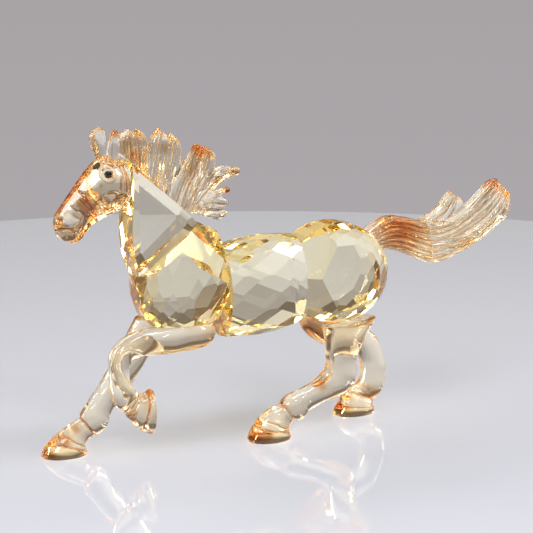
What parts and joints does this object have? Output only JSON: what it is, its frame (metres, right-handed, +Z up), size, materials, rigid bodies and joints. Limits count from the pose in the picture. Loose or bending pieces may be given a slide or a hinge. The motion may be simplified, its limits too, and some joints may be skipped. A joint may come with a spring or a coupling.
{
  "type": "crystal glass horse figurine",
  "caption": "Galloping horse figurine of facet-cut golden crystal stones bonded to clear cast glass head, mane, tail and legs, standing on its planted hooves.",
  "frame": {"origin": "middle of the bounding box's base, on the surface that the planted hooves stand on", "axes": "+Z up, the head points along -X and the tail along +X, and the horse's left side faces -Y"},
  "size_m": [0.205, 0.0314, 0.1289],
  "materials": {
    "cut_crystal": "polished",
    "cast_crystal": "polished",
    "hair_crystal": "polished",
    "jet_glass": "polished",
    "cured_adhesive": "clear"
  },
  "bodies": {
    "root": {"neck_stone": "cut_crystal", "chest_stone": "cut_crystal", "barrel_stone": "cut_crystal", "rump_stone": "cut_crystal", "head_casting": "cast_crystal", "left_eye_bead": "jet_glass", "right_eye_bead": "jet_glass", "poll_mane_casting": "hair_crystal", "crest_mane_casting": "hair_crystal", "withers_mane_casting": "hair_crystal", "tail_casting": "hair_crystal", "left_foreleg_casting": "cast_crystal", "right_foreleg_casting": "cast_crystal", "left_hind_leg_casting": "cast_crystal", "right_hind_leg_casting": "cast_crystal", "head_bond": "cured_adhesive", "neck_chest_bond": "cured_adhesive", "chest_barrel_bond": "cured_adhesive", "barrel_rump_bond": "cured_adhesive", "tail_bond": "cured_adhesive", "left_foreleg_bond": "cured_adhesive", "right_foreleg_bond": "cured_adhesive", "left_hind_leg_bond": "cured_adhesive", "right_hind_leg_bond": "cured_adhesive", "poll_mane_bond": "cured_adhesive", "crest_mane_bond": "cured_adhesive", "withers_mane_bond": "cured_adhesive"}
  },
  "joints": []
}
